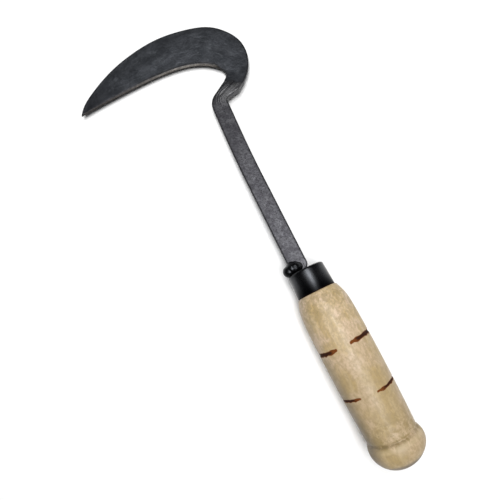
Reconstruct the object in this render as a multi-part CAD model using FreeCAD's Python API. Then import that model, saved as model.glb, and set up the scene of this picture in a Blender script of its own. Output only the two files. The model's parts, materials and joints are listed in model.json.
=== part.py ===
import FreeCAD, Part
import math
import os

# Hand sickle: a hooked blade forged from flat bar, its shank welded on to a
# steel cap and tang that hold it in a turned wooden handle.
#
# Every piece is drawn in the tool's own frame, in millimetres:
#   x runs along the handle towards the blade, from the mouth of the ferrule
#   y points to the side that the hook reaches to
#   z is square to the flat of the blade
# lay_down() then turns the whole tool into the attitude in which it lies.

# ---- driving dimensions, mm and degrees ----

# handle, turned from one piece of wood
GRIP_LENGTH = 108.6        # ferrule mouth to the end of the butt
MOUTH_STEP = 0.6           # wood standing proud of the ferrule where it comes out
SHOULDER_LENGTH = 17.0     # the rounded rise from the mouth to full size
SHOULDER_RADIUS = 16.8     # wood at the top of the shoulder
BELLY_RADIUS = 16.95       # thickest part of the grip
BELLY_AT = 34.0            # belly, measured from the ferrule mouth
WAIST_RADIUS = 15.3        # thinnest part, just ahead of the flare
FLARE_LENGTH = 17.6        # waist to the end of the butt
FLARE_RADIUS = 16.95

# ferrule, a drawn steel cap
FERRULE_RADIUS = 12.7      # at its mouth
FERRULE_TAPER = 0.5        # how much smaller the closed end is, on the radius
FERRULE_LENGTH = 15.9
FERRULE_WALL = 1.2
FERRULE_EDGE = 1.2         # rounding of its closed end
SPIGOT_CLEARANCE = 0.05    # wood inside the cap, all round
SPIGOT_END_GAP = 0.5       # wood to the inside of the closed end

# tang, a pointed round rod
TANG_RADIUS = 4.0
TANG_DEPTH = 78.0          # outside of the cap to the point
TANG_POINT = 12.0          # length of the taper
TANG_CLEARANCE = 0.1       # rod in the cap and in the wood
TANG_TIP_RADIUS = 1.0      # blunt end of the point
BORE_SPARE = 3.0           # bore beyond the point

# shank, flat bar standing on the cap in line with the tang
SHANK_WIDTH = 12.35
SHANK_THICKNESS = 5.0
SHANK_LENGTH = 141.3       # cap to the outer corner of the gooseneck
SHANK_OFFSET = 2.75        # centre of the foot and of the tang, off the handle's axis
SHANK_BOW_AT = 89.0        # where the bar starts to lean, from the cap
SHANK_BOW_SHIFT = 1.45     # how far it has moved across by then
SHANK_LEAN = 3.3           # lean beyond that, away from the hook
SHANK_BOW_RADIUS = 900.0
FOOT_CORNER = 4.4          # rounded corner of the foot, away from the hook

# gooseneck, the bar bent aside and spread
NECK_ANGLE = 32.7          # from square across the shank
NECK_LENGTH = 29.0         # outer corner to the throat corner
NECK_WIDTH = 13.65
NECK_HEEL_AT = 18.45       # lower corner, along the neck from the outer corner
NECK_KINK_BACK = 3.6       # inner kink, back along the shank from the outer corner
NECK_OUTER_RADIUS = 14.0
NECK_KINK_RADIUS = 3.5
THROAT_RADIUS = 7.4

# blade, hammered out thin
BLADE_REACH = 116.3        # throat corner to the point, across
BLADE_RISE = 55.7          # throat corner to the crest of the back, along
HEEL_WIDTH = 18.1          # throat corner to the outside of the crook
BLADE_THICKNESS = 2.6      # where the neck has run out
BACK_THICKNESS = 2.2       # at the crest
THINNING_LENGTH = 18.0     # over which the bar thins to the blade
THIN_PAST_THROAT = 4.0     # end of the thinning, beyond the throat corner
BEVEL_WIDTH = 1.6          # ground along the cutting edge, on the upper side
BEVEL_DEPTH = 1.3

# weld bead, lumps run together round the corner of the foot, none of them
# below the shank's back, which stays flat:
# (up from the cap, out from the shank's edge, up from its back, radius)
BEAD_LUMPS = [
    (3.1, 1.0, 4.2, 4.1),
    (3.9, -3.6, 4.7, 4.0),
    (5.6, -1.6, 4.0, 3.3),
    (3.6, -1.6, 5.5, 3.6),
]

# attitude in which the tool lies: it rests on the handle's shoulder and the
# crest of the blade, and rocks this far over towards the hook to balance
REST_ROLL = 0.45

EPSILON = 0.01
SPARE = 1.0                # how far a cut runs past the piece that it cuts


# ---- helpers ----

def vec(x, y, z=0.0):
    return FreeCAD.Vector(x, y, z)


def rounded_path(corners):
    """Edges through (point, radius) corners, each inner corner an arc of its radius."""
    edges = []
    last = corners[0][0]
    for (before, _), (corner, radius), (after, _) in zip(corners, corners[1:], corners[2:]):
        back = (before - corner).normalize()
        ahead = (after - corner).normalize()
        half = back.getAngle(ahead) / 2.0
        start = corner + back * (radius / math.tan(half))
        end = corner + ahead * (radius / math.tan(half))
        bisector = (back + ahead).normalize()
        middle = corner + bisector * (radius / math.sin(half) - radius)
        edges.append(Part.LineSegment(last, start).toShape())
        edges.append(Part.Arc(start, middle, end).toShape())
        last = end
    edges.append(Part.LineSegment(last, corners[-1][0]).toShape())
    return edges


def smooth_path(points):
    """One smooth edge through the points."""
    curve = Part.BSplineCurve()
    curve.interpolate(points)
    return curve.toShape()


def turned(edges):
    """A solid turned about the x axis from edges in the x-y plane that start and end on it."""
    face = Part.Face(Part.Wire(Part.__sortEdges__(edges)))
    return face.revolve(vec(0, 0), vec(1, 0), 360)


def rod(x_from, x_to, radius, y=0.0):
    return Part.makeCylinder(radius, x_to - x_from, vec(x_from, y), vec(1, 0))


def tang_room(x_from, x_to):
    """The round room that the tang needs, its clearance with it."""
    return rod(x_from, x_to, TANG_RADIUS + TANG_CLEARANCE, SHANK_OFFSET)


# ---- places worked out from the dimensions ----

cap_top = FERRULE_LENGTH
mouth_radius = FERRULE_RADIUS + MOUTH_STEP
cap_inside = cap_top - FERRULE_WALL
inside_radius = FERRULE_RADIUS - FERRULE_TAPER - FERRULE_WALL
spigot_radius = inside_radius - SPIGOT_CLEARANCE
spigot_end = cap_inside - SPIGOT_END_GAP
tang_tip = cap_top - TANG_DEPTH


# ---- pieces ----

def handle():
    waist_x = FLARE_LENGTH - GRIP_LENGTH
    butt_x = -GRIP_LENGTH
    grip = smooth_path([
        vec(0, mouth_radius),
        vec(-0.35 * SHOULDER_LENGTH, 0.36 * mouth_radius + 0.64 * SHOULDER_RADIUS),
        vec(-SHOULDER_LENGTH, SHOULDER_RADIUS),
        vec(-BELLY_AT, BELLY_RADIUS),
        vec(0.5 * (waist_x - BELLY_AT), 0.5 * (BELLY_RADIUS + WAIST_RADIUS) + 0.4),
        vec(waist_x, WAIST_RADIUS),
    ])
    butt = smooth_path([
        vec(waist_x, WAIST_RADIUS),
        vec(waist_x - 0.11 * FLARE_LENGTH, FLARE_RADIUS - 0.35 * (FLARE_RADIUS - WAIST_RADIUS)),
        vec(waist_x - 0.36 * FLARE_LENGTH, FLARE_RADIUS),
        vec(waist_x - 0.64 * FLARE_LENGTH, 0.87 * FLARE_RADIUS),
        vec(waist_x - 0.87 * FLARE_LENGTH, 0.57 * FLARE_RADIUS),
        vec(waist_x - 0.97 * FLARE_LENGTH, 0.27 * FLARE_RADIUS),
        vec(butt_x, 0),
    ])
    outline = [
        Part.LineSegment(vec(butt_x, 0), vec(spigot_end, 0)).toShape(),
        Part.LineSegment(vec(spigot_end, 0), vec(spigot_end, spigot_radius)).toShape(),
        Part.LineSegment(vec(spigot_end, spigot_radius), vec(0, spigot_radius)).toShape(),
        Part.LineSegment(vec(0, spigot_radius), vec(0, mouth_radius)).toShape(),
        grip,
        butt,
    ]
    wood = turned(outline)
    return wood.cut(tang_room(tang_tip - BORE_SPARE, spigot_end + SPARE))


def ferrule():
    closed_radius = FERRULE_RADIUS - FERRULE_TAPER
    outside = Part.makeCone(FERRULE_RADIUS, closed_radius, cap_top, vec(0, 0), vec(1, 0))
    end_rim = [e for e in outside.Edges if e.BoundBox.XMin > cap_top - EPSILON]
    outside = outside.makeFillet(FERRULE_EDGE, end_rim)
    hollow = rod(-SPARE, cap_inside, inside_radius)
    return outside.cut(hollow).cut(tang_room(0, cap_top + SPARE))


def tang():
    taper_x = tang_tip + TANG_POINT
    shaft = rod(taper_x, cap_top, TANG_RADIUS, SHANK_OFFSET)
    point = Part.makeCone(TANG_TIP_RADIUS, TANG_RADIUS, TANG_POINT,
                          vec(tang_tip, SHANK_OFFSET), vec(1, 0))
    return shaft.fuse(point).removeSplitter()


def blade_outline():
    """The plan of shank, gooseneck and blade, as one closed wire."""
    lean = math.radians(SHANK_LEAN)
    turn = math.radians(NECK_ANGLE)
    along_neck = vec(math.sin(turn), -math.cos(turn))
    across_neck = vec(-math.cos(turn), -math.sin(turn))
    half = SHANK_WIDTH / 2.0

    foot_x = cap_top
    bow_x = foot_x + SHANK_BOW_AT
    bow_y = SHANK_OFFSET - SHANK_BOW_SHIFT
    corner_x = foot_x + SHANK_LENGTH

    def centre_y(x):
        return bow_y - (x - bow_x) * math.tan(lean)

    outer_corner = vec(corner_x, centre_y(corner_x) + half)
    throat_corner = outer_corner + along_neck * NECK_LENGTH
    heel_corner = outer_corner + along_neck * NECK_HEEL_AT + across_neck * NECK_WIDTH
    kink_x = corner_x - NECK_KINK_BACK
    kink = vec(kink_x, centre_y(kink_x) - half)

    def plan(rise, reach):
        """A point of the blade, in shares of its rise and of its reach or its heel width."""
        side = BLADE_REACH if reach > 0 else HEEL_WIDTH
        return throat_corner + vec(rise * BLADE_RISE, reach * side)

    point = plan(0.411, 1.0)
    edge_start = plan(0.174, 0.073)
    edge = smooth_path([
        edge_start,
        plan(0.291, 0.146),
        plan(0.393, 0.284),
        plan(0.436, 0.464),
        plan(0.439, 0.688),
        plan(0.429, 0.860),
        point,
    ])
    back = smooth_path([
        point,
        plan(0.504, 0.972),
        plan(0.692, 0.860),
        plan(0.872, 0.688),
        plan(0.969, 0.516),
        plan(1.0, 0.327),
        plan(0.927, 0.129),
        plan(0.796, -0.109),
        plan(0.604, -0.661),
        plan(0.396, -0.959),
        plan(0.181, -0.992),
        plan(-0.029, -0.782),
        plan(-0.194, -0.385),
        heel_corner,
    ])

    hook_side = rounded_path([
        (vec(foot_x, SHANK_OFFSET + half), 0),
        (vec(bow_x, bow_y + half), SHANK_BOW_RADIUS),
        (outer_corner, NECK_OUTER_RADIUS),
        (throat_corner, THROAT_RADIUS),
        (edge_start, 0),
    ])
    far_side = rounded_path([
        (heel_corner, 0),
        (kink, NECK_KINK_RADIUS),
        (vec(bow_x, bow_y - half), SHANK_BOW_RADIUS),
        (vec(foot_x, SHANK_OFFSET - half), FOOT_CORNER),
        (vec(foot_x, SHANK_OFFSET + half), 0),
    ])
    return Part.Wire(hook_side + [edge, back] + far_side), edge, throat_corner


def bevel_cutter(edge):
    """What the bevel takes off: a strip beside the cutting edge that leans in over it."""
    start = edge.Vertexes[0].Point
    point = edge.Vertexes[-1].Point
    aside = vec(-4 * BEVEL_WIDTH, 0)
    sides = Part.makePolygon([point, point + aside, start + aside, start])
    hollow = Part.Face(Part.Wire([edge] + sides.Edges))
    hollow.translate(vec(0, 0, BACK_THICKNESS / 2 - BEVEL_DEPTH))
    return hollow.extrude(vec(BEVEL_WIDTH, 0, BEVEL_DEPTH) * 2)


def blade():
    outline, edge, throat = blade_outline()
    reach = BLADE_REACH + HEEL_WIDTH + SHANK_WIDTH
    bar = Part.Face(outline)
    bar.translate(vec(0, 0, -SHANK_THICKNESS))
    bar = bar.extrude(vec(0, 0, 2 * SHANK_THICKNESS))

    # side view of the forging: full bar, a ramp, then the thin blade
    thin_x = throat.x + THIN_PAST_THROAT
    thick_x = thin_x - THINNING_LENGTH
    crest_x = throat.x + BLADE_RISE + SPARE
    upper = [
        vec(0, 0, SHANK_THICKNESS / 2),
        vec(thick_x, 0, SHANK_THICKNESS / 2),
        vec(thin_x, 0, BLADE_THICKNESS / 2),
        vec(crest_x, 0, BACK_THICKNESS / 2),
    ]
    lower = [vec(p.x, 0, -p.z) for p in reversed(upper)]
    side = Part.Face(Part.makePolygon(upper + lower + upper[:1]))
    side.translate(vec(0, -2 * reach))
    forging = bar.common(side.extrude(vec(0, 4 * reach)))
    return forging.cut(bevel_cutter(edge))


def weld_bead(blade_solid, ferrule_solid):
    edge_y = SHANK_OFFSET + SHANK_WIDTH / 2.0
    back_z = -SHANK_THICKNESS / 2.0
    lumps = [
        Part.makeSphere(radius, vec(cap_top + up, edge_y + out, back_z + rise))
        for up, out, rise, radius in BEAD_LUMPS
    ]
    bead = lumps[0].multiFuse(lumps[1:])
    bead = bead.cut(blade_solid).cut(ferrule_solid).cut(tang_room(0, cap_top))
    return bead.removeSplitter()


def lay_down(shapes):
    """Turn the tool on to the handle's shoulder and the crest of the blade, down at z = 0."""
    drop = SHOULDER_RADIUS - BACK_THICKNESS / 2
    run = shapes["blade"].BoundBox.XMax + SHOULDER_LENGTH
    pitch = math.degrees(math.asin(drop / run))
    turn = FreeCAD.Rotation(vec(0, 1), pitch) * FreeCAD.Rotation(vec(1, 0), REST_ROLL)
    for shape in shapes.values():
        shape.Placement = FreeCAD.Placement(vec(0, 0), turn)
    box = FreeCAD.BoundBox()
    for shape in shapes.values():
        box.add(shape.optimalBoundingBox(False))
    middle = vec(-box.Center.x, -box.Center.y, -box.ZMin)
    for shape in shapes.values():
        shape.translate(middle)


pieces = {"handle": handle(), "ferrule": ferrule(), "tang": tang(), "blade": blade()}
pieces["weld_bead"] = weld_bead(pieces["blade"], pieces["ferrule"])
lay_down(pieces)

os.makedirs("parts", exist_ok=True)
for name, shape in pieces.items():
    shape.exportStep("parts/" + name + ".step")
    print(name, "valid", shape.isValid(), "solids", len(shape.Solids), "volume", round(shape.Volume, 1))
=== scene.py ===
import json
import math

import bmesh
import bpy
import numpy as np
from mathutils import Matrix, Vector, noise
from mathutils.geometry import delaunay_2d_cdt


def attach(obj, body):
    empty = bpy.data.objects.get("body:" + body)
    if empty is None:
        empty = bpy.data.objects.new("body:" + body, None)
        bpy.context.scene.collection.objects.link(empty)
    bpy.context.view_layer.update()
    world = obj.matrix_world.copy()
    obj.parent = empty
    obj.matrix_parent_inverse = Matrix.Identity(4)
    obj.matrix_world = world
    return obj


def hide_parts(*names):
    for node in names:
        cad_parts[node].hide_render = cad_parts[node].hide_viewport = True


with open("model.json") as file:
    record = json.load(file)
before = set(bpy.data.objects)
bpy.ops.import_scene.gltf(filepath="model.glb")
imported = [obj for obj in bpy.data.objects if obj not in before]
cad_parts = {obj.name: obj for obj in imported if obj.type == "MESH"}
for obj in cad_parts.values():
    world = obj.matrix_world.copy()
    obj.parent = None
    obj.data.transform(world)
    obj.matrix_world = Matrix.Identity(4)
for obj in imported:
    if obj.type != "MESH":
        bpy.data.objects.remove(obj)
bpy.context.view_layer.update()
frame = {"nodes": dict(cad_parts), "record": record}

# Every piece is drawn in the tool's own frame, in millimetres, and then placed
# in the row frame:
#   x runs along the handle towards the blade, from the mouth of the ferrule
#   y points to the side that the hook reaches to
#   z is square to the flat of the blade
mounts = {mount["name"]: mount for mount in frame["record"]["mounts"]}
GRIP_MOUNT_BACK = 0.040    # the hand_grip mount, back from the ferrule mouth, m
X_AXIS = Vector(mounts["hand_grip"]["axis"]).normalized()
Z_AXIS = -Vector(mounts["shank_back"]["axis"]).normalized()
Y_AXIS = Z_AXIS.cross(X_AXIS)
ORIGIN = Vector(mounts["hand_grip"]["pos_m"]) + X_AXIS * GRIP_MOUNT_BACK
MM = 0.001

# ---- dimensions of the tool, mm and degrees ----
# They are the design's, but for the drawing out of the blade, which is smooth here.

GRIP_LENGTH = 108.6
MOUTH_RADIUS = 13.3
MOUTH_ROUND = 0.7
SHOULDER_LENGTH = 17.0
SHOULDER_RADIUS = 16.8
BELLY_RADIUS = 16.95
BELLY_AT = 34.0
WAIST_RADIUS = 15.3
FLARE_LENGTH = 17.6
FLARE_RADIUS = 16.95
BUTT_SLANT = 0.06          # the butt leans a little, longer on the hook's side
SPIGOT_RADIUS = 10.9
SPIGOT_END = 14.2
SPIGOT_EDGE = 0.5          # bevel round its end

FERRULE_RADIUS = 12.7
FERRULE_TAPER = 0.5
FERRULE_LENGTH = 15.9
FERRULE_WALL = 1.2
FERRULE_EDGE = 1.2         # rounding of the closed end
FERRULE_LIP = 0.35         # and of the mouth
FERRULE_DOME = 0.12

SHANK_WIDTH = 12.35
SHANK_THICKNESS = 5.0
SHANK_LENGTH = 141.3
SHANK_OFFSET = 2.75
SHANK_BOW_AT = 89.0
SHANK_BOW_SHIFT = 1.45
SHANK_LEAN = 3.3
SHANK_BOW_RADIUS = 900.0
FOOT_CORNER = 4.4

NECK_ANGLE = 32.7
NECK_LENGTH = 29.0
NECK_WIDTH = 13.65
NECK_HEEL_AT = 18.45
NECK_KINK_BACK = 3.6
NECK_OUTER_RADIUS = 14.0
NECK_KINK_RADIUS = 3.5
THROAT_RADIUS = 7.4

BLADE_REACH = 116.3
BLADE_RISE = 55.7
HEEL_WIDTH = 18.1
BLADE_THICKNESS = 2.3      # where the neck has run out
POINT_THICKNESS = 1.5
POINT_RUN = 60.0           # from the neck to where it starts to thin towards the point
EDGE_THICKNESS = 1.5       # just above the bevel
EDGE_RUN = 16.0            # over which the blade thins towards the edge
THINNING_LENGTH = 20.0     # over which the bar thins to the blade
THINNING_BACK = 7.0        # how much of it is on the neck
BEVEL_WIDTH = 1.6          # round the throat
BEVEL_WIDTH_POINT = 0.7    # and at the point
BEVEL_NARROWS = 50.0       # how far along the edge that starts
BEVEL_RUN_IN = 13.0        # over which the bevel starts, round the throat
BEVEL_LIP = 0.45           # steel left at the cutting edge
LEAST_THICKNESS = 0.12
BAR_ROUND = 0.8            # rounding of the bar's long edges
NECK_ROUND = 2.2           # and of the neck's, where the hammer has worked

# the outline of the blade, in shares of its rise and of its reach or its heel width
BLADE_POINT = (0.411, 1.0)
EDGE_START = (0.174, 0.073)
EDGE_SHARES = [
    (0.291, 0.146), (0.393, 0.284), (0.436, 0.464), (0.439, 0.688), (0.429, 0.860),
]
BACK_SHARES = [
    (0.504, 0.972), (0.692, 0.860), (0.872, 0.688), (0.969, 0.516), (1.0, 0.327), (0.927, 0.129),
    (0.796, -0.109), (0.604, -0.661), (0.396, -0.959), (0.181, -0.992), (-0.029, -0.782),
    (-0.194, -0.385),
]
MIDDLE_SHARES = [
    (0.0, -0.42), (0.16, -0.36), (0.33, -0.08), (0.50, 0.045), (0.63, 0.16), (0.70, 0.31),
    (0.705, 0.48), (0.65, 0.68), (0.56, 0.86),
]

# lumps of weld: up from the cap, out from the bar's edge, above its middle, radius
BEAD_LUMPS = [
    (3.1, 1.0, 1.7, 4.0),
    (3.9, -3.6, 2.0, 4.2),
    (5.4, -1.8, 1.7, 3.5),
    (3.9, -1.6, 2.3, 4.0),
    (1.8, -3.2, 2.0, 3.0),
    (3.6, -5.6, 1.6, 3.3),
]

# ---- marks of the making and of use, mm and degrees ----

# dents of the hammer: size, along the tool and across it if they differ, then depth, seed
BLADE_DENTS = [(16.0, 0.34, 0), (7.5, 0.14, 3)]
BAR_DENTS = [(22.0, 0.10, 5), (5.0, 0.03, 9)]
NECK_HOLLOWS = [((18.0, 4.0, 1.0), 0.08, 7), ((9.0, 1.5, 1.0), 0.06, 11)]
DENT_LIMIT = 0.1           # how far a dent's rim may stand up
FOOT_LINE_AT = 11.5        # a line across the shank's foot, up from the cap
FOOT_LINE_DEPTH = 0.16
BEAD_WAVES = [(3.4, 0.22, 3.1), (1.3, 0.08, 7.7)]

# scorched rings round the handle: centre, how far it leans, width, and the gap at
# the front, as angles from the front towards the hook's side and away from it
RINGS = [
    {"x": -34.7, "lean": 0.5, "width": 2.3, "gap": (27.0, -6.0)},
    {"x": -63.7, "lean": 0.4, "width": 1.6, "gap": (30.5, -9.0)},
]
RING_DEPTH = 0.35
RING_FADE = 7.0            # degrees over which a ring runs out
RING_BLACKENS = (4, 24)    # degrees past the gap between which it turns black
RING_WANDER = 0.25         # how far its line strays
RING_WAVER = 0.12          # and shakes
FAR_CHAR = 0.8             # how black it is on the far side

CREASE_DEPTH = 0.40        # the tool's cut at the waist
CREASE_HALF_WIDTH = 1.2
RIDGE_AT = 2.6             # painted highlight on the flare's shoulder, behind it
LATHE_MARKS = 0.02
OUT_OF_ROUND = (0.0035, 0.002)    # oval and three-sided, shares of the radius
SANDED = 0.13              # off the wood's radius, so that its swells stay in the design
LEAST_RADIUS = 3.0         # nearer the axis the marks fade out

OUTLINE_STEP = 0.7         # between the points of the blade's outline
FILL_STEP = 1.0            # and of those inside it
RIM_OFFSETS = (0.12, 0.35, 0.8, 1.5, 2.3)
GRIP_STEP = 0.35           # along the handle's profile
GRIP_SIDES = 180
CAP_SIDES = 144

# ---- colours, linear red, green and blue ----

STEEL = {
    "bar": (0.048, 0.048, 0.054),
    "bar_pale": (0.070, 0.070, 0.076),
    "bar_patch": (0.030, 0.029, 0.034),
    "bar_grain": (0.110, 0.108, 0.119),
    "bar_speck": (0.016, 0.016, 0.018),
    "bar_side": (0.026, 0.026, 0.030),
    "neck": (0.016, 0.016, 0.019),
    "neck_streak": (0.078, 0.078, 0.081),
    "neck_scratch": (0.180, 0.180, 0.184),
    "neck_groove": (0.014, 0.014, 0.018),
    # painted light: paler grey on the heel side of the neck, where its tilt shades it
    "neck_heel_painted_light": (0.095, 0.095, 0.098),
    "neck_side": (0.015, 0.015, 0.018),
    "blade": (0.032, 0.035, 0.041),
    "blade_pale": (0.058, 0.062, 0.071),
    "blade_high": (0.105, 0.112, 0.124),
    "blade_low": (0.026, 0.028, 0.033),
    "blade_spine": (0.026, 0.028, 0.032),
    "blade_tip": (0.020, 0.021, 0.025),
    "burr": (0.022, 0.022, 0.025),
    "over_bevel": (0.014, 0.013, 0.013),
    "bare": (0.034, 0.031, 0.029),
    "bare_streak": (0.090, 0.082, 0.074),
    "bare_keen": (0.022, 0.019, 0.018),
}
ENAMEL = {
    "paint": (0.0008, 0.0008, 0.001),
    "paint_dusty": (0.003, 0.003, 0.0035),
    # painted shadow: dark reddish band along the mouth of the cap
    "reddish": (0.010, 0.003, 0.0015),
    "sheen": (0.88, 0.92, 1.0, 1.0),
}
ROD = {
    "drawn": (0.24, 0.23, 0.22),
    "reddish": (0.16, 0.075, 0.035),
}
WOOD = {
    "late": (0.525, 0.383, 0.187),
    "early": (0.630, 0.488, 0.299),
    "cloud": (0.675, 0.513, 0.356),
    "fibre": (0.36, 0.25, 0.13),
    "pore": (0.26, 0.18, 0.09),
    "stain": (0.31, 0.225, 0.09),
    "fleck": (0.25, 0.205, 0.10),
    "speck": (0.25, 0.19, 0.10),
    "mottle": (0.37, 0.275, 0.155),
    # painted shade: the wood darker towards the butt, where the light falls off
    "butt": (0.31, 0.225, 0.10),
    "crease": (0.15, 0.105, 0.04),
    # painted highlight on the flare's shoulder just past the waist
    "ridge_highlight": (0.66, 0.53, 0.33),
    # painted shade: darker down the hook's side towards the butt, and round the butt's edge
    "painted_shade": (0.13, 0.095, 0.05),
    "scorched": (0.165, 0.050, 0.012),
    "burnt": (0.034, 0.011, 0.005),
}
FLOOR = {
    "grey": (0.93, 0.93, 0.93),
    "white": (0.95, 0.95, 0.95),
}
SKY = (0.98, 0.99, 1.0, 1.0)


# ---- geometry helpers ----

def along_curve(points, step):
    """Points about step apart on the smooth curve through the given ones."""
    points = np.array(points, float)
    chord = np.concatenate([[0], np.cumsum(np.linalg.norm(np.diff(points, axis=0), axis=1))])
    h = np.diff(chord)
    count = len(points)

    def end_slope(a, b, c, first, second):
        """Slope at a of the parabola through three points."""
        one = (b - a) / first
        two = (c - b) / second
        return one - (two - one) * first / (first + second)

    start = end_slope(points[0], points[1], points[2], h[0], h[1])
    finish = end_slope(points[-1], points[-2], points[-3], -h[-1], -h[-2])
    matrix = np.zeros((count, count))
    right = np.zeros_like(points)
    matrix[0, :2] = 2 * h[0], h[0]
    right[0] = 6 * ((points[1] - points[0]) / h[0] - start)
    matrix[-1, -2:] = h[-1], 2 * h[-1]
    right[-1] = 6 * (finish - (points[-1] - points[-2]) / h[-1])
    for i in range(1, count - 1):
        matrix[i, i - 1:i + 2] = h[i - 1], 2 * (h[i - 1] + h[i]), h[i]
        right[i] = 6 * ((points[i + 1] - points[i]) / h[i] - (points[i] - points[i - 1]) / h[i - 1])
    bend = np.linalg.solve(matrix, right)
    at = np.linspace(0, chord[-1], max(3, round(chord[-1] / step) + 1))
    i = np.clip(np.searchsorted(chord, at, side="right") - 1, 0, count - 2)
    before = (chord[i + 1] - at)[:, None]
    after = (at - chord[i])[:, None]
    span = h[i][:, None]
    cubic = (bend[i] * before ** 3 + bend[i + 1] * after ** 3) / (6 * span)
    linear = (points[i] / span - bend[i] * span / 6) * before
    linear += (points[i + 1] / span - bend[i + 1] * span / 6) * after
    return cubic + linear


def along_line(start, end, step):
    """Points about step apart from start to end."""
    count = max(2, round(np.linalg.norm(end - start) / step) + 1)
    return start + np.linspace(0, 1, count)[:, None] * (end - start)


def rounded_path(corners, step):
    """Points through (point, radius) corners, each inner corner an arc of its radius."""
    runs = []
    last = corners[0][0]
    for (before, _), (corner, radius), (after, _) in zip(corners, corners[1:], corners[2:]):
        back = (before - corner) / np.linalg.norm(before - corner)
        ahead = (after - corner) / np.linalg.norm(after - corner)
        half = math.acos(float(back @ ahead)) / 2
        start = corner + back * radius / math.tan(half)
        end = corner + ahead * radius / math.tan(half)
        bisector = (back + ahead) / np.linalg.norm(back + ahead)
        centre = corner + bisector * radius / math.sin(half)
        runs.append(along_line(last, start, step))
        turn = math.pi - 2 * half
        count = max(3, round(radius * turn / step) + 1)
        share = np.linspace(0, 1, count)[:, None]
        arm = start - centre
        other = end - centre
        arc = (np.sin((1 - share) * turn) * arm + np.sin(share * turn) * other) / math.sin(turn)
        runs.append(centre + arc)
        last = end
    runs.append(along_line(last, corners[-1][0], step))
    return np.concatenate(runs)


def distinct(points, gap=0.05):
    """The points without those that repeat the one before."""
    kept = [points[0]]
    for point in points[1:]:
        if np.linalg.norm(point - kept[-1]) > gap:
            kept.append(point)
    return np.array(kept)


def nearest_on(points, line):
    """For each point: distance to an open polyline, place along it and side of it."""
    batch = 2000
    start = line[:-1]
    run = np.diff(line, axis=0)
    length = np.linalg.norm(run, axis=1)
    place = np.concatenate([[0], np.cumsum(length)])[:-1]
    distance = np.empty(len(points))
    along = np.empty(len(points))
    side = np.empty(len(points))
    for first in range(0, len(points), batch):
        part = slice(first, first + batch)
        some = points[part, None, :] - start[None]
        share = np.clip((some * run).sum(2) / length ** 2, 0, 1)
        away = some - share[..., None] * run
        gap = np.linalg.norm(away, axis=2)
        best = gap.argmin(1)
        rows = np.arange(len(best))
        distance[part] = gap[rows, best]
        along[part] = place[best] + share[rows, best] * length[best]
        cross = run[best, 0] * some[rows, best, 1] - run[best, 1] * some[rows, best, 0]
        side[part] = np.sign(cross)
    return distance, along, side


def smooth(value, low, high):
    """From 0 to 1 as the value goes from low to high, eased at both ends."""
    share = np.clip((np.asarray(value, float) - low) / (high - low), 0, 1)
    return share * share * (3 - 2 * share)


def ripple(points, size, seed):
    """Smooth noise, about -1 to 1, with features of the given sizes, mm."""
    size = np.broadcast_to(size, (len(points), 3))
    shift = Vector((seed, 0.37 * seed, -seed))
    return np.array([noise.noise(Vector(p / s) + shift) for p, s in zip(points, size)])


def placed(points):
    """Points of the tool frame, mm, in the row frame, m."""
    axes = np.array([X_AXIS, Y_AXIS, Z_AXIS])
    return np.asarray(points, float) @ axes * MM + np.array(ORIGIN)


def face_outward(piece):
    """Turn every face's normal to the outside of the closed mesh."""
    mesh = bmesh.new()
    mesh.from_mesh(piece.data)
    bmesh.ops.recalc_face_normals(mesh, faces=mesh.faces)
    mesh.to_mesh(piece.data)
    mesh.free()


def add_piece(name, points, faces, node, material, measures=()):
    """A closed mesh that stands for a node. It keeps where its points are on the tool."""
    mesh = bpy.data.meshes.new(name)
    mesh.from_pydata(placed(points).tolist(), [], faces)
    mesh.polygons.foreach_set("use_smooth", [True] * len(mesh.polygons))
    spot = mesh.attributes.new("spot", "FLOAT_VECTOR", "POINT")
    spot.data.foreach_set("vector", np.asarray(points, np.float32).ravel())
    for key, values in dict(measures).items():
        kind = "FLOAT_VECTOR" if np.ndim(values) == 2 else "FLOAT"
        entry = mesh.attributes.new(key, kind, "POINT")
        field = "vector" if kind == "FLOAT_VECTOR" else "value"
        entry.data.foreach_set(field, np.asarray(values, np.float32).ravel())
    mesh.materials.append(material)
    piece = bpy.data.objects.new(name, mesh)
    bpy.context.scene.collection.objects.link(piece)
    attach(piece, "root")
    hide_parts(node)
    face_outward(piece)


def turned(profile, count, shape):
    """Points and faces of a closed turning. The profile of (x, radius) starts and ends on the
    axis, and shape(x, radius, angle) gives the points of one ring."""
    angles = np.linspace(0, 2 * math.pi, count, endpoint=False)
    rings = [shape(x, radius, angles) for x, radius in profile[1:-1]]
    points = np.concatenate([[[profile[0][0], 0, 0]], *rings, [[profile[-1][0], 0, 0]]])
    faces = []
    last = len(points) - 1
    for turn in range(count):
        after = (turn + 1) % count
        faces.append((0, 1 + after, 1 + turn))
        end = last - count
        faces.append((last, end + turn, end + after))
        for ring in range(len(rings) - 1):
            low = 1 + ring * count
            high = low + count
            faces.append((low + turn, low + after, high + after, high + turn))
    return points, faces


# ---- material helpers ----

def add_node(tree, kind, inputs=(), **settings):
    """A shader node; an input is a value or another node's output."""
    made = tree.nodes.new("ShaderNode" + kind)
    for key, value in settings.items():
        setattr(made, key, value)
    for key, value in dict(inputs).items():
        if isinstance(value, bpy.types.NodeSocket):
            tree.links.new(value, made.inputs[key])
        else:
            made.inputs[key].default_value = value
    return made


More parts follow.
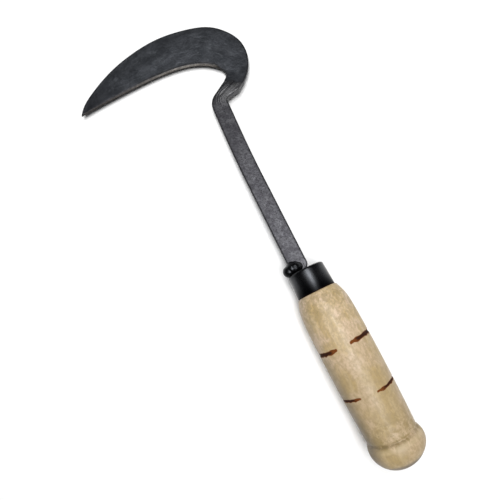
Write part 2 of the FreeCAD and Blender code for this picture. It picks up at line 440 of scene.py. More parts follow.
class Finish:
    """A material under construction."""

    def __init__(self, name):
        self.material = bpy.data.materials.new(name)
        self.material.use_nodes = True
        self.tree = self.material.node_tree
        self.shader = self.tree.nodes["Principled BSDF"]

    def measure(self, name, output="Fac"):
        """What add_piece has stored with the mesh."""
        return add_node(self.tree, "Attribute", attribute_name=name).outputs[output]

    def spot(self, name="spot", stretch=(1, 1, 1)):
        """The place on the tool, mm, or along and across the blade; stretch is 1 / size."""
        vector = self.measure(name, "Vector")
        mapped = add_node(self.tree, "Mapping", {"Vector": vector, "Scale": stretch})
        return mapped.outputs["Vector"]

    def noise(self, vector, scale, detail=4.0, roughness=0.55, distortion=0.0):
        return add_node(self.tree, "TexNoise", {
            "Vector": vector,
            "Scale": scale,
            "Detail": detail,
            "Roughness": roughness,
            "Distortion": distortion,
        }).outputs["Fac"]

    def spread(self, value, low, high, to_low=0.0, to_high=1.0):
        """From to_low to to_high as the value goes from low to high."""
        return add_node(self.tree, "MapRange", {
            "Value": value,
            "From Min": low,
            "From Max": high,
            "To Min": to_low,
            "To Max": to_high,
        }, interpolation_type="SMOOTHSTEP").outputs["Result"]

    def maths(self, operation, one, two=0.0):
        return add_node(self.tree, "Math", {0: one, 1: two}, operation=operation).outputs[0]

    def mix(self, share, one, two):
        """The first colour, and more of the second as the share grows."""
        return add_node(self.tree, "MixRGB", {
            "Fac": share,
            "Color1": one if isinstance(one, bpy.types.NodeSocket) else (*one, 1.0),
            "Color2": two if isinstance(two, bpy.types.NodeSocket) else (*two, 1.0),
        }).outputs["Color"]

    def lay(self, below, colour, value, low, high, most=1.0):
        """A colour laid over what is below, as the value goes from low to high."""
        return self.mix(self.spread(value, low, high, 0.0, most), below, colour)

    def bump(self, height, distance, strength=1.0, below=None):
        inputs = {"Height": height, "Distance": distance, "Strength": strength}
        if below is not None:
            inputs["Normal"] = below
        return add_node(self.tree, "Bump", inputs).outputs["Normal"]

    def set(self, **inputs):
        for key, value in inputs.items():
            socket = self.shader.inputs[key.replace("_", " ")]
            if isinstance(value, bpy.types.NodeSocket):
                self.tree.links.new(value, socket)
            else:
                socket.default_value = value
        return self.material


# ---- finishes ----

def forged_steel():
    """Oxidised hammered steel: grey mill scale on the bar, drawn streaks on the neck, a near
    black blade with a bare ground edge."""
    finish = Finish("forged_steel")
    spot = finish.spot()
    worked = finish.measure("worked")
    hook_side = finish.measure("hook_side")
    cut = finish.measure("cut")

    cloud = finish.noise(spot, 0.085, 5, 0.6)
    patch = finish.noise(spot, 0.28, 4, 0.6, 0.5)
    grain = finish.noise(spot, 0.6, 4, 0.6)
    speck = finish.noise(spot, 0.85, 2, 0.5)
    streak = finish.noise(finish.spot("path", (0.045, 0.75, 0.75)), 1.0, 4, 0.6, 0.4)
    fine_streak = finish.noise(finish.spot("path", (0.12, 2.6, 2.6)), 1.0, 3, 0.6)
    hair = finish.noise(finish.spot("path", (0.08, 1.3, 1.3)), 1.0, 3, 0.55, 0.5)
    hammered = finish.noise(finish.spot("path", (0.11, 0.24, 0.24)), 1.0, 5, 0.6, 0.6)

    bar = finish.lay(STEEL["bar"], STEEL["bar_pale"], cloud, 0.35, 0.68)
    bar = finish.lay(bar, STEEL["bar_patch"], patch, 0.42, 0.62, 0.9)
    bar = finish.lay(bar, STEEL["bar_grain"], grain, 0.52, 0.72, 0.4)
    bar = finish.lay(bar, STEEL["bar_speck"], speck, 0.56, 0.68, 0.85)
    bar = finish.mix(finish.maths("MULTIPLY", hook_side, 0.3), bar, STEEL["bar_side"])

    neck = finish.lay(STEEL["neck"], STEEL["neck_streak"], streak, 0.40, 0.60)
    neck = finish.lay(neck, STEEL["neck_scratch"], hair, 0.52, 0.66, 0.9)
    neck = finish.mix(finish.spread(hair, 0.32, 0.48, 0.85, 0.0), neck, STEEL["neck_groove"])
    # painted light: the heel side of the neck made paler, against the shade that its tilt gives
    neck = finish.mix(finish.measure("heel"), neck, STEEL["neck_heel_painted_light"])
    neck = finish.mix(hook_side, neck, STEEL["neck_side"])

    blade_steel = finish.lay(STEEL["blade"], STEEL["blade_pale"], cloud, 0.34, 0.68)
    blade_steel = finish.lay(blade_steel, STEEL["blade_high"], hammered, 0.50, 0.74, 0.6)
    hollow = finish.spread(hammered, 0.30, 0.46, 0.45, 0.0)
    blade_steel = finish.mix(hollow, blade_steel, STEEL["blade_low"])
    near_spine = finish.spread(finish.measure("spine"), 0.0, 9.0, 0.55, 0.0)
    blade_steel = finish.mix(near_spine, blade_steel, STEEL["blade_spine"])
    blade_steel = finish.mix(finish.measure("tip"), blade_steel, STEEL["blade_tip"])

    body = finish.mix(worked, bar, neck)
    body = finish.mix(finish.measure("dark"), body, blade_steel)
    body = finish.mix(finish.measure("burr"), body, STEEL["burr"])
    over_bevel = finish.maths("ABSOLUTE", finish.maths("SUBTRACT", cut, 1.3))
    over_bevel = finish.spread(over_bevel, 0.2, 0.6, 0.75, 0.0)
    body = finish.mix(over_bevel, body, STEEL["over_bevel"])
    bare = finish.lay(STEEL["bare"], STEEL["bare_streak"], fine_streak, 0.35, 0.65)
    bare = finish.mix(finish.measure("keen"), bare, STEEL["bare_keen"])
    body = finish.mix(finish.spread(cut, 0.8, 1.05, 1.0, 0.0), body, bare)

    rough = finish.spread(grain, 0.3, 0.7, 0.38, 0.52)
    rough = finish.maths("SUBTRACT", rough, finish.maths("MULTIPLY", worked, 0.06))
    pits = finish.bump(finish.spread(grain, 0.3, 0.75), 0.00015, 0.5)
    drawn = finish.bump(finish.maths("MULTIPLY", streak, worked), 0.0006, 0.6, pits)
    lines = finish.bump(fine_streak, 0.00008, 0.35, drawn)
    return finish.set(Base_Color=body, Metallic=0.8, Roughness=rough, Normal=lines)


def black_enamel():
    """Brushed-on gloss black paint, with a dark reddish painted shadow along the mouth of the cap.
    It is duller towards the mouth, and the weld above the cap is glossy again."""
    finish = Finish("black_enamel")
    spot = finish.spot()
    wave = finish.noise(spot, 0.35, 3, 0.5)
    grain = finish.noise(spot, 1.6, 4, 0.6)
    along = add_node(finish.tree, "SeparateXYZ", {0: finish.measure("spot", "Vector")}).outputs["X"]
    # painted shadow: the cap's mouth darkened to a dark reddish band, for the shade in the gap between
    # cap and wood
    wavy_lip = finish.maths("ADD", along, finish.maths("MULTIPLY", wave, 0.8))
    lip = finish.spread(wavy_lip, 0.5, 1.3, 1.0, 0.0)
    paint = finish.lay(ENAMEL["paint"], ENAMEL["paint_dusty"], grain, 0.5, 0.8, 0.5)
    colour = finish.mix(lip, paint, ENAMEL["reddish"])
    rough = finish.spread(grain, 0.3, 0.7, 0.25, 0.32)
    rough = finish.maths("ADD", rough, finish.maths("MULTIPLY", lip, 0.3))
    runs = finish.bump(wave, 0.0002, 0.25)
    dust = finish.bump(grain, 0.00003, 0.3, runs)
    gloss = finish.spread(finish.maths("ADD", along, wave), 1.0, 11.0, 0.05, 0.50)
    gloss = finish.maths("MULTIPLY", gloss, finish.spread(along, 12.0, 15.5, 1.0, 0.6))
    gloss = finish.maths("MAXIMUM", gloss, finish.spread(along, 16.0, 17.5, 0.0, 0.32))
    return finish.set(Base_Color=colour, Roughness=rough, Normal=dust,
                      Specular_IOR_Level=gloss, Specular_Tint=ENAMEL["sheen"])


def tang_steel():
    """Plain drawn rod, grey and a little rusty."""
    finish = Finish("tang_steel")
    place = add_node(finish.tree, "TexCoord").outputs["Object"]
    cloud = finish.noise(place, 180.0, 5, 0.6)
    grain = finish.noise(place, 1500.0, 4, 0.6)
    colour = finish.lay(ROD["drawn"], ROD["reddish"], cloud, 0.5, 0.7)
    rough = finish.spread(cloud, 0.3, 0.7, 0.35, 0.65)
    pits = finish.bump(grain, 0.0001, 0.4)
    return finish.set(Base_Color=colour, Metallic=0.85, Roughness=rough, Normal=pits)


def turned_wood():
    """Pale close-grained wood under a thin varnish, blotched where hands have held it, with
    the scorched rings; painted shade darkens it towards the butt, down the hook's side and round the
    butt's edge, and a painted highlight lies on the ridge just past the waist."""
    finish = Finish("turned_wood")
    spot = finish.spot()
    grime = finish.measure("grime")

    grain = finish.noise(finish.spot(stretch=(0.030, 0.27, 0.27)), 1.0, 4, 0.5, 0.8)
    fibre = finish.noise(finish.spot(stretch=(0.10, 2.6, 2.6)), 1.0, 4, 0.6, 0.3)
    pores = finish.noise(finish.spot(stretch=(0.45, 3.2, 3.2)), 1.0, 2, 0.5)
    speck = finish.noise(finish.spot(stretch=(0.35, 0.8, 0.8)), 1.0, 2, 0.5)
    mottle = finish.noise(finish.spot(stretch=(0.38, 0.62, 0.62)), 1.0, 4, 0.7)
    burn = finish.noise(finish.spot(stretch=(0.9, 0.9, 0.9)), 1.0, 4, 0.65)
    cloud = finish.noise(spot, 0.06, 4, 0.55)
    blotch = finish.noise(spot, 0.22, 5, 0.6, 0.6)
    fleck = finish.noise(spot, 0.75, 3, 0.6, 0.4)

    wood = finish.lay(WOOD["late"], WOOD["early"], grain, 0.36, 0.68)
    wood = finish.lay(wood, WOOD["cloud"], cloud, 0.44, 0.58)
    wood = finish.lay(wood, WOOD["fibre"], fibre, 0.45, 0.75, 0.18)
    wood = finish.lay(wood, WOOD["pore"], pores, 0.64, 0.76, 0.22)
    stained = finish.maths("MULTIPLY", finish.spread(blotch, 0.44, 0.62), grime)
    wood = finish.mix(stained, wood, WOOD["stain"])
    flecked = finish.maths("MULTIPLY", finish.spread(fleck, 0.52, 0.66, 0.0, 0.9), grime)
    wood = finish.mix(flecked, wood, WOOD["fleck"])
    wood = finish.lay(wood, WOOD["speck"], speck, 0.70, 0.80, 0.40)
    wood = finish.lay(wood, WOOD["mottle"], mottle, 0.42, 0.60, 0.60)
    # painted shade: darker towards the butt, where the light falls off
    wood = finish.lay(wood, WOOD["butt"], finish.measure("butt"), 0.0, 1.0, 0.45)
    dirt = finish.spread(blotch, 0.35, 0.60, 0.3, 1.0)
    crease = finish.maths("MULTIPLY", finish.measure("crease"), dirt)
    wood = finish.mix(crease, wood, WOOD["crease"])
    # painted highlight on the flare's shoulder just past the waist
    wood = finish.mix(finish.measure("ridge_highlight"), wood, WOOD["ridge_highlight"])
    # painted shade down the hook's side towards the butt and round the butt's edge
    wood = finish.mix(finish.measure("painted_shade"), wood, WOOD["painted_shade"])

    halo = finish.maths("ADD", finish.measure("scorch"), finish.maths("MULTIPLY", burn, 0.5))
    halo = finish.spread(halo, 0.45, 1.0)
    wood = finish.mix(halo, wood, WOOD["scorched"])
    burnt = finish.maths("ADD", finish.measure("char"), finish.maths("MULTIPLY", burn, 0.9))
    burnt = finish.spread(burnt, 0.72, 1.22)
    wood = finish.mix(burnt, wood, WOOD["burnt"])

    rough = finish.spread(blotch, 0.3, 0.7, 0.42, 0.58)
    rough = finish.maths("ADD", rough, finish.maths("MULTIPLY", burnt, 0.3))
    rough = finish.maths("MINIMUM", rough, 0.9)
    relief = finish.bump(fibre, 0.00012, 0.35)
    relief = finish.bump(finish.spread(pores, 0.6, 0.75, 1.0, 0.0), 0.00010, 0.35, relief)
    coat = finish.spread(halo, 0.0, 1.0, 0.12, 0.0)
    gloss = finish.spread(halo, 0.0, 1.0, 0.45, 0.08)
    return finish.set(Base_Color=wood, Roughness=rough, Normal=relief, Coat_Weight=coat,
                      Coat_Roughness=0.38, Specular_IOR_Level=gloss)


def pale_floor():
    """Matt card, very slightly clouded."""
    finish = Finish("pale_floor")
    place = add_node(finish.tree, "TexCoord").outputs["Object"]
    colour = finish.mix(finish.noise(place, 3.0, 3), FLOOR["grey"], FLOOR["white"])
    return finish.set(Base_Color=colour, Roughness=0.8)


# ---- blade ----

def plan_lines():
    """The plan of shank, gooseneck and blade: its outline as one closed loop, the ground
    edge, the back, the middle line from foot to point, and the middle of the neck."""
    step = OUTLINE_STEP
    lean = math.radians(SHANK_LEAN)
    turn = math.radians(NECK_ANGLE)
    along_neck = np.array([math.sin(turn), -math.cos(turn)])
    across_neck = np.array([-math.cos(turn), -math.sin(turn)])
    half = SHANK_WIDTH / 2
    foot_x = FERRULE_LENGTH
    bow_x = foot_x + SHANK_BOW_AT
    bow_y = SHANK_OFFSET - SHANK_BOW_SHIFT
    corner_x = foot_x + SHANK_LENGTH

    def centre_y(x):
        return bow_y - (x - bow_x) * math.tan(lean)

    outer_corner = np.array([corner_x, centre_y(corner_x) + half])
    throat = outer_corner + along_neck * NECK_LENGTH
    heel = outer_corner + along_neck * NECK_HEEL_AT + across_neck * NECK_WIDTH
    neck_centre = (throat + heel) / 2
    kink_x = corner_x - NECK_KINK_BACK
    kink = np.array([kink_x, centre_y(kink_x) - half])

    def plan(shares):
        rise, reach = shares
        side = BLADE_REACH if reach > 0 else HEEL_WIDTH
        return throat + np.array([rise * BLADE_RISE, reach * side])

    point = plan(BLADE_POINT)
    edge_start = plan(EDGE_START)
    edge = along_curve([edge_start, *map(plan, EDGE_SHARES), point], step)
    back = along_curve([point, *map(plan, BACK_SHARES), heel], step)
    hook_side = rounded_path([
        (np.array([foot_x, SHANK_OFFSET + half]), 0),
        (np.array([bow_x, bow_y + half]), SHANK_BOW_RADIUS),
        (outer_corner, NECK_OUTER_RADIUS),
        (throat, THROAT_RADIUS),
        (edge_start, 0),
    ], step)
    far_side = rounded_path([
        (heel, 0),
        (kink, NECK_KINK_RADIUS),
        (np.array([bow_x, bow_y - half]), SHANK_BOW_RADIUS),
        (np.array([foot_x, SHANK_OFFSET - half]), FOOT_CORNER),
        (np.array([foot_x, SHANK_OFFSET + half]), 0),
    ], step)
    outline = distinct(np.concatenate([hook_side, edge, back, far_side]))[:-1]
    ground = distinct(np.concatenate([hook_side[-round(BEVEL_RUN_IN / step):], edge]))
    middle = along_curve([
        [foot_x, SHANK_OFFSET],
        [bow_x, bow_y],
        [corner_x - SHANK_WIDTH, centre_y(corner_x - SHANK_WIDTH)],
        outer_corner + (kink - outer_corner) / 2,
        neck_centre,
        *map(plan, MIDDLE_SHARES),
        point,
    ], 1.0)
    return outline, ground, back, middle, neck_centre


def filled(outline):
    """Points that fill the outline: rings that follow it closely, then an even grid. Gives
    them after the outline's own, and the outline closed."""
    run = np.roll(outline, -1, axis=0) - np.roll(outline, 1, axis=0)
    inward = np.stack([run[:, 1], -run[:, 0]], axis=1)
    inward /= np.linalg.norm(inward, axis=1)[:, None]
    closed = np.concatenate([outline, outline[:1]])
    x, y = closed[:, 0], closed[:, 1]
    if np.sum(x[:-1] * y[1:] - x[1:] * y[:-1]) > 0:
        inward = -inward
    layers = [outline]
    for offset in RIM_OFFSETS:
        ring = outline + inward * offset
        gap, _, _ = nearest_on(ring, closed)
        keep = gap > 0.93 * offset
        if offset > 1:
            keep &= np.arange(len(ring)) % 2 == 0
        layers.append(ring[keep])

    low = outline.min(0)
    high = outline.max(0)
    fill = []
    for number, row in enumerate(np.arange(low[1], high[1], FILL_STEP * 0.87)):
        across = np.arange(low[0] + (number % 2) * FILL_STEP / 2, high[0], FILL_STEP)
        fill.append(np.stack([across, np.full(len(across), row)], axis=1))
    fill = np.concatenate(fill)
    straddles = (y[:-1] > fill[:, 1:2]) != (y[1:] > fill[:, 1:2])
    with np.errstate(divide="ignore", invalid="ignore"):
        crossing = (x[1:] - x[:-1]) * (fill[:, 1:2] - y[:-1]) / (y[1:] - y[:-1]) + x[:-1]
    inside = (straddles & (fill[:, :1] < crossing)).sum(1) % 2 == 1
    fill = fill[inside]
    gap, _, _ = nearest_on(fill, closed)
    layers.append(fill[gap > RIM_OFFSETS[-1] + 0.5 * FILL_STEP])
    return np.concatenate(layers), closed


def triangulated(points, count):
    """The points of a flat mesh, its triangles, and the border, which the first count
    points go round."""
    loop = [(i, (i + 1) % count) for i in range(count)]
    flat, _, triangles, sources, *_ = delaunay_2d_cdt(
        [Vector(p) for p in points], loop, [list(range(count))], 1, 1e-5)
    renumbered = {old: new for new, olds in enumerate(sources) for old in olds}
    border = [renumbered[i] for i in range(count)]
    return np.array([v[:] for v in flat], float), [tuple(face) for face in triangles], border


def between(flat, upper, lower, triangles, border):
    """Points and faces of the closed body between two surfaces over one flat mesh."""
    steps = 2
    total = len(flat)
    count = len(border)
    top = np.c_[flat, upper]
    bottom = np.c_[flat, lower]
    shares = [step / (steps + 1) for step in range(1, steps + 1)]
    walls = [top[border] * (1 - share) + bottom[border] * share for share in shares]
    faces = triangles + [tuple(total + i for i in reversed(face)) for face in triangles]
    levels = [border]
    levels += [[2 * total + step * count + i for i in range(count)] for step in range(steps)]
    levels += [[total + i for i in border]]
    for one, two in zip(levels, levels[1:]):
        for i in range(count):
            after = (i + 1) % count
            faces.append((one[i], one[after], two[after], two[i]))

    def everywhere(values):
        """Values on the flat mesh, given to each point of the body."""
        return np.concatenate([values, values] + [values[border]] * steps)

    return np.concatenate([top, bottom, *walls]), faces, everywhere


def dents(points, marks, seed):
    """Height of the marks, each of (size, height, what is added to the seed)."""
    return sum(ripple(points, size, seed + extra) * height for size, height, extra in marks)


def blade():
    outline, ground, back, middle, neck_centre = plan_lines()
    points, closed = filled(outline)
    flat, triangles, border = triangulated(points, len(outline))
    level = np.zeros(len(flat))

    rim, _, _ = nearest_on(flat, closed)
    rim[border] = 0
    spine, _, _ = nearest_on(flat, back)
    edge_gap, cut_along, _ = nearest_on(flat, ground)
    ground_length = np.linalg.norm(np.diff(ground, axis=0), axis=1).sum()
    narrowing = smooth(cut_along, BEVEL_NARROWS, ground_length)
    bevel_width = BEVEL_WIDTH + (BEVEL_WIDTH_POINT - BEVEL_WIDTH) * narrowing
    cut = edge_gap / bevel_width + 4 * (1 - smooth(cut_along, 0, BEVEL_RUN_IN))

    away, along, side = nearest_on(flat, middle)
    across = away * side
    at_neck = nearest_on(neck_centre[None], middle)[1][0]
    at_bend = at_neck - NECK_LENGTH * 0.62    # where the shank turns into the neck
    past_neck = along - at_neck + 0.5 * across + 1.85    # past the slanting end of the neck
    length = nearest_on(ground[-1:], middle)[1][0]
    path = np.stack([along, across, level], axis=1)
    spot = np.c_[flat, level]

    # how thick the steel is: bar, then drawn out thin, thinnest at the point and the edge
    thin = smooth(past_neck, -THINNING_BACK, THINNING_LENGTH - THINNING_BACK)
    to_point = smooth(along, at_neck + POINT_RUN, length)
    sheet = BLADE_THICKNESS + (POINT_THICKNESS - BLADE_THICKNESS) * to_point
    drawn_out = EDGE_THICKNESS + (sheet - EDGE_THICKNESS) * smooth(edge_gap, 0, EDGE_RUN)
    sheet = np.minimum(sheet, drawn_out)
    half = (SHANK_THICKNESS + (sheet - SHANK_THICKNESS) * thin) / 2

    # where it is black, where the hammer has worked it, and how its edges are rounded
    dark = smooth(past_neck + 2.0 * ripple(spot, 4.0, 5), -0.9, 0.9)
    worked = smooth(along, at_bend - 13, at_bend + 1) * (1 - dark)
    on_neck = smooth(along, at_bend - 8, at_bend + 6) * (1 - dark) * smooth(across, -2, 3)
    round_over = BAR_ROUND + (NECK_ROUND - BAR_ROUND) * on_neck
    round_over = np.minimum(round_over, 0.8 * half)
    inset = np.clip(1 - rim / round_over, 0, 1)
    drop = round_over * (1 - np.sqrt(1 - inset ** 2))

    def hammered(seed):
        """Marks of forging: broad dents on the blade, long hollows on the neck."""
        marks = dents(spot, BAR_DENTS, seed) * (1 - worked) * (1 - thin)
        marks += dents(path, NECK_HOLLOWS, seed) * worked
        marks += dents(spot, BLADE_DENTS, seed) * thin
        return np.minimum(marks * smooth(rim, 0.3, 3.0), DENT_LIMIT) - DENT_LIMIT

    upper = half - drop + hammered(1.3)
    lower = -half + drop - hammered(8.7)
    from_line = np.abs(flat[:, 0] - FERRULE_LENGTH - FOOT_LINE_AT - 0.15 * flat[:, 1])
    foot_line = 1 - smooth(from_line, 0.0, 0.7)
    upper -= FOOT_LINE_DEPTH * foot_line * smooth(rim, 1.0, 3.0)
    lip = lower + BEVEL_LIP * (1 - 0.6 * to_point)
    bevel = lip + (upper - lip) * np.clip(cut, 0, 1)
    upper = np.where(cut < 1, np.minimum(upper, bevel), upper)
    upper = np.maximum(upper, lower + LEAST_THICKNESS)
    body, faces, everywhere = between(flat, upper, lower, triangles, border)

    burr = (1 - smooth(rim, 0.15, 1.3)) * 0.75 * (1 - 0.9 * worked * (across < 0))
    streaky = across + 2.4 * ripple(path, (9.0, 2.2, 1.0), 21)
    measures = {
        "path": np.c_[everywhere(along), everywhere(across), body[:, 2]],
        "dark": everywhere(dark),
        "worked": everywhere(worked),
        "burr": everywhere(burr),
        "cut": everywhere(cut),
        "keen": everywhere(smooth(cut_along, 38, 88) * 0.9),
        "hook_side": everywhere(smooth(streaky, -0.2, 4.5) * 0.92),
        # heel: where the painted light on the neck's heel side goes
        "heel": everywhere(smooth(-across, 1.0, 5.0) * 0.7),
        "spine": everywhere(spine),
        "tip": everywhere(0.6 * smooth(along, length - 50, length - 8)),
    }
    add_piece("forged_blade", body, faces, "blade", forged_steel(), measures)


# ---- handle ----

def handle_profile(waist):
    """The wood's (x, radius), from the middle of the spigot's end to that of the butt."""
    belly_to_waist = 0.5 * (BELLY_RADIUS + WAIST_RADIUS) + 0.4
    rise = [
        (-0.3 * MOUTH_ROUND, MOUTH_RADIUS),
        (-0.35 * SHOULDER_LENGTH, 0.36 * MOUTH_RADIUS + 0.64 * SHOULDER_RADIUS),
        (-SHOULDER_LENGTH, SHOULDER_RADIUS),
        (-BELLY_AT, BELLY_RADIUS),
        (0.5 * (waist - BELLY_AT), belly_to_waist),
        (waist, WAIST_RADIUS),
    ]
    butt = [
        (waist, WAIST_RADIUS),
        (waist - 0.11 * FLARE_LENGTH, FLARE_RADIUS - 0.35 * (FLARE_RADIUS - WAIST_RADIUS)),
        (waist - 0.36 * FLARE_LENGTH, FLARE_RADIUS),
        (waist - 0.64 * FLARE_LENGTH, 0.87 * FLARE_RADIUS),
        (waist - 0.87 * FLARE_LENGTH, 0.57 * FLARE_RADIUS),
        (waist - 0.97 * FLARE_LENGTH, 0.27 * FLARE_RADIUS),
        (-GRIP_LENGTH, 0),
    ]
    spigot = [
        (SPIGOT_END, 0),
        (SPIGOT_END, 5.0),
        (SPIGOT_END, SPIGOT_RADIUS - SPIGOT_EDGE),
        (SPIGOT_END - SPIGOT_EDGE, SPIGOT_RADIUS),
    ]
    mouth = [
        (0, SPIGOT_RADIUS),
        (0, 0.5 * (SPIGOT_RADIUS + MOUTH_RADIUS)),
        (0, MOUTH_RADIUS - MOUTH_ROUND),
    ]
    for a in np.radians([15, 35, 55, 75]):
        mouth.append((MOUTH_ROUND * (math.cos(a) - 1), MOUTH_RADIUS - MOUTH_ROUND * (1 - math.sin(a))))
    profile = spigot + mouth
    for part in (rise, butt):
        profile += along_curve(part, GRIP_STEP).tolist()[1:]
    profile[-1] = (-GRIP_LENGTH, 0.0)
    return profile


def ring_share(x, angle):
    """How deep in a scorched ring a point lies, how near one, and how black, 0 to 1."""
    degrees = np.degrees(np.arctan2(np.sin(angle), np.cos(angle)))
    deep = np.zeros_like(angle)
    near = np.zeros_like(angle)
    black = np.zeros_like(angle)
    charred = np.where(degrees > 0, 1.0, FAR_CHAR)
    for ring in RINGS:
        centre = ring["x"] - ring["lean"] * np.sin(angle)
        centre = centre + RING_WANDER * np.sin(2 * angle + ring["x"])
        centre = centre + RING_WAVER * np.sin(17 * angle + 2 * np.sin(7 * angle))
        hook, far = ring["gap"]
        past = np.maximum(degrees - hook, far - degrees)
        runs = smooth(past, -RING_FADE * 0.2, RING_FADE * 0.6)
        width = ring["width"] * (0.6 + 0.4 * smooth(past, 0, 2 * RING_FADE))
        width = width * (1 + 0.16 * np.sin(23 * angle + 3 * np.sin(5 * angle)))
        off = np.abs(x - centre) / (width / 2)
        deep = np.maximum(deep, runs * (1 - smooth(off, 0.55, 1.25)))
        black = np.maximum(black, deep * charred * (0.3 + 0.7 * smooth(past, *RING_BLACKENS)))
        near = np.maximum(near, smooth(past, -0.7 * RING_FADE, 0) * (1 - smooth(off, 0.8, 1.5)))
    return deep, near, black


def handle():
    waist = FLARE_LENGTH - GRIP_LENGTH

    def wood(x, radius, angle):
        y = radius * np.sin(angle)
        z = radius * np.cos(angle)
        if x < waist or (x < 0.01 and radius > SPIGOT_RADIUS + 0.5):
            deep, _, _ = ring_share(x, angle)
            oval, lobes = OUT_OF_ROUND
            swell = 1 + oval * np.cos(2 * angle + 0.02 * x) + lobes * np.sin(3 * angle + 0.05 * x)
            lathe = LATHE_MARKS * math.sin(x * 2.1) * math.sin(x * 0.31)
            nick = CREASE_DEPTH * max(0.0, 1 - abs(x - waist) / CREASE_HALF_WIDTH)
            marks = lathe - nick - SANDED - RING_DEPTH * deep
            scale = swell + marks / max(radius, LEAST_RADIUS)
            y = y * scale
            z = z * scale
        slant = BUTT_SLANT * smooth(-x, -waist, GRIP_LENGTH)
        return np.stack([x - slant * y, y, z], axis=1)

    points, faces = turned(handle_profile(waist), GRIP_SIDES, wood)
    x = points[:, 0]
    angle = np.arctan2(points[:, 1], points[:, 2])
    hookward = np.sin(angle)
    _, near, black = ring_share(x, angle)
    shoulder = smooth(x, -SHOULDER_LENGTH - 10, -4)
    ahead = x - waist
    by_crease = 1 - np.where(ahead > 0, smooth(ahead, 1.0, 22.0), smooth(-ahead, 0.5, 5.0))
    crease = (1 - smooth(np.abs(ahead), 0.2, 1.5)) * (0.2 + 0.4 * smooth(hookward, -0.3, 0.8))
    # painted shade down the hook's side, stronger towards the butt
    painted_shade = 0.85 * smooth(hookward, 0.60, 1.0) * (0.35 + 0.65 * smooth(-x, 20, 90))
    # painted shade in a thin band round the butt's edge
    butt_rim_shade = smooth(-x, GRIP_LENGTH - 6.6, GRIP_LENGTH - 4.4)
    butt_rim_shade = butt_rim_shade * (1 - 0.6 * smooth(-x, GRIP_LENGTH - 2.4, GRIP_LENGTH - 0.8))
    measures = {
        "char": black,
        "scorch": near,
        "grime": np.clip(0.2 + 0.5 * shoulder + 0.8 * by_crease, 0, 1),
        "crease": crease,
        "painted_shade": np.maximum(painted_shade, 0.85 * butt_rim_shade),
        # butt: how much painted shade lies on the wood, growing towards the butt
        "butt": smooth(-x, 5, 80),
        # where the painted highlight lies, just past the waist
        "ridge_highlight": 0.25 * (1 - smooth(np.abs(ahead + RIDGE_AT), 0.4, 1.8)),
    }
    add_piece("turned_handle", points, faces, "handle", turned_wood(), measures)


# ---- cap and weld ----

def ferrule(paint):
    closed = FERRULE_RADIUS - FERRULE_TAPER
    inside = closed - FERRULE_WALL
    crown = closed - FERRULE_EDGE
    inner_end = FERRULE_LENGTH - FERRULE_WALL
    lip = FERRULE_LIP

    def outer(x):
        return FERRULE_RADIUS - FERRULE_TAPER * x / FERRULE_LENGTH

    profile = [
        (inner_end, 0.0),
        (inner_end, inside * 0.5),
        (inner_end, inside - 0.5),
        (inner_end - 0.5, inside),
    ]
    profile += [(x, inside) for x in np.linspace(FERRULE_LENGTH - 3, lip, 6)]
    for a in np.radians([30, 60, 90]):
        profile.append((lip * (1 - math.sin(a)), inside + lip * (1 - math.cos(a))))
    for a in np.radians([90, 60, 30, 0]):
        profile.append((lip * (1 - math.sin(a)), outer(0) - lip * (1 - math.cos(a))))
    profile += [(x, outer(x)) for x in np.linspace(1.0, FERRULE_LENGTH - FERRULE_EDGE, 24)]
    for a in np.radians([15, 30, 45, 60, 75, 90]):
        shoulder = FERRULE_LENGTH - FERRULE_EDGE * (1 - math.sin(a))
        profile.append((shoulder, crown + FERRULE_EDGE * math.cos(a)))
    for r in crown * np.linspace(0.9, 0, 8):
        profile.append((FERRULE_LENGTH + FERRULE_DOME * (1 - (r / crown) ** 2), r))

    def cap(x, radius, angle):
        dented = radius + 0.05 * np.sin(2 * angle + 0.6) + 0.03 * np.sin(5 * angle + 0.3 * x)
        reach = np.where(radius > inside + 0.1, dented, radius)
        return np.stack([np.full_like(angle, x), reach * np.sin(angle), reach * np.cos(angle)], axis=1)

    points, faces = turned(profile, CAP_SIDES, cap)
    add_piece("steel_cap", points, faces, "ferrule", paint)


def weld_bead(paint):
    """Lumps of weld run together, then painted over."""
    edge_y = SHANK_OFFSET + SHANK_WIDTH / 2
    mesh = bmesh.new()
    for up, out, rise, radius in BEAD_LUMPS:
        place = Matrix.Translation((FERRULE_LENGTH + up, edge_y + out, rise))
        bmesh.ops.create_icosphere(mesh, subdivisions=4, radius=radius, matrix=place)
    rough = bpy.data.meshes.new("lumps")
    mesh.to_mesh(rough)
    mesh.free()
    source = bpy.data.objects.new("lumps", rough)
    bpy.context.scene.collection.objects.link(source)
    remesh = source.modifiers.new("fuse", "REMESH")
    remesh.mode = "VOXEL"
    remesh.voxel_size = 0.3
    ease = source.modifiers.new("ease", "SMOOTH")
    ease.factor = 0.6
    ease.iterations = 12
    bpy.context.view_layer.update()
    evaluated = source.evaluated_get(bpy.context.evaluated_depsgraph_get())
    fused = bpy.data.meshes.new_from_object(evaluated)
    points = np.array([v.co for v in fused.vertices], float)
    normals = np.array([v.normal for v in fused.vertices], float)
    faces = [tuple(p.vertices) for p in fused.polygons]
    bpy.data.objects.remove(source)
    bpy.data.meshes.remove(fused)
    bpy.data.meshes.remove(rough)
    points += normals * dents(points, BEAD_WAVES, 0)[:, None]
    points[:, 2] = np.maximum(points[:, 2], -SHANK_THICKNESS / 2 + 0.02)
    add_piece("weld_lump", points, faces, "weld_bead", paint)


# ---- surroundings ----

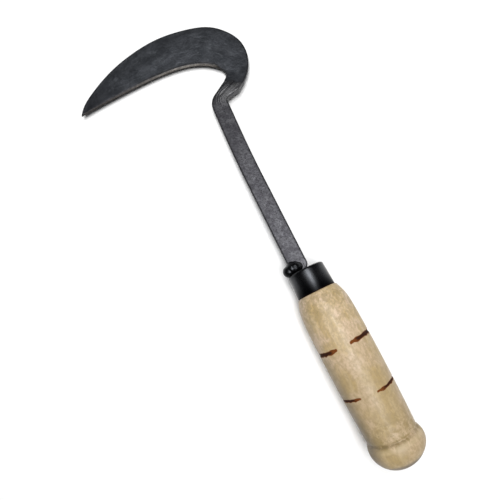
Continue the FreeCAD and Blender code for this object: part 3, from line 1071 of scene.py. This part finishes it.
def tool_matrix(place, forward, up):
    """Where something stands that looks along forward, both in the tool frame, place in mm."""
    forward = Vector(forward).normalized()
    up = Vector(up)
    right = forward.cross(up).normalized()
    up = right.cross(forward)
    turn = Matrix((right, up, -forward)).transposed().to_4x4()
    axes = Matrix((X_AXIS, Y_AXIS, Z_AXIS)).transposed().to_4x4()
    spot = Matrix.Translation(Vector(placed([place])[0]))
    return spot @ axes @ turn


def camera():
    """Held over the mouth of the ferrule, tilted towards the blade."""
    place = (-6.7, 26.3, 224.5)
    tilt = math.radians(12.7)
    roll = math.radians(26.37)
    forward = Vector((math.sin(tilt), 0, -math.cos(tilt)))
    level = Vector((0, -1, 0))
    rise = Vector((math.cos(tilt), 0, math.sin(tilt)))
    up = level * math.sin(roll) + rise * math.cos(roll)
    data = bpy.data.cameras.new("camera")
    data.sensor_width = 36.0
    data.lens = 24.84
    data.clip_start = 0.01
    view = bpy.data.objects.new("camera", data)
    bpy.context.scene.collection.objects.link(view)
    view.matrix_world = tool_matrix(place, forward, up)
    bpy.context.scene.camera = view


def softbox(name, place, target, width, height, glow):
    """A rectangular light of the given size, m, and brightness. It faces a target; the
    target and the light's own place are in mm, in the tool frame."""
    data = bpy.data.lights.new(name, "AREA")
    data.shape = "RECTANGLE"
    data.size = width
    data.size_y = height
    data.energy = glow * math.pi * width * height
    light = bpy.data.objects.new(name, data)
    bpy.context.scene.collection.objects.link(light)
    ahead = Vector(target) - Vector(place)
    light.matrix_world = tool_matrix(place, ahead, (1, 0, 0))


def add_floor():
    mesh = bpy.data.meshes.new("floor")
    size = 12.0
    corners = [(-size, -size, 0), (size, -size, 0), (size, size, 0), (-size, size, 0)]
    mesh.from_pydata(corners, [], [(0, 1, 2, 3)])
    mesh.materials.append(pale_floor())
    floor = bpy.data.objects.new("floor", mesh)
    bpy.context.scene.collection.objects.link(floor)


def add_light():
    """A pale sky, darker overhead, a broad soft light above, a strip that draws the shine
    along the cap, and a low fill from the far side."""
    world = bpy.data.worlds.new("world")
    world.use_nodes = True
    sky = world.node_tree.nodes["Background"]
    sky.inputs["Color"].default_value = SKY
    look = add_node(world.node_tree, "TexCoord").outputs["Generated"]
    height = add_node(world.node_tree, "SeparateXYZ", {0: look}).outputs["Z"]
    glow = add_node(world.node_tree, "MapRange", {
        "Value": height,
        "From Min": 0.0,
        "From Max": 0.40,
        "To Min": 0.38,
        "To Max": 0.03,
    }).outputs["Result"]
    world.node_tree.links.new(glow, sky.inputs["Strength"])
    bpy.context.scene.world = world
    bpy.context.scene.view_settings.view_transform = "Standard"

    data = bpy.data.lights.new("sky_glow", "SUN")
    data.energy = 1.2
    data.angle = math.radians(50)
    bpy.context.scene.collection.objects.link(bpy.data.objects.new("sky_glow", data))
    softbox("strip", place=(70, -30, 990), target=(70, -10, 0), width=0.30, height=1.10, glow=9.0)
    softbox("fill", place=(0, -620, 80), target=(40, 0, 10), width=0.9, height=0.14, glow=0.5)


enamel = black_enamel()
blade()
handle()
ferrule(enamel)
weld_bead(enamel)
tang = frame["nodes"]["tang"]
tang.data.materials.clear()
tang.data.materials.append(tang_steel())
add_floor()
add_light()
camera()
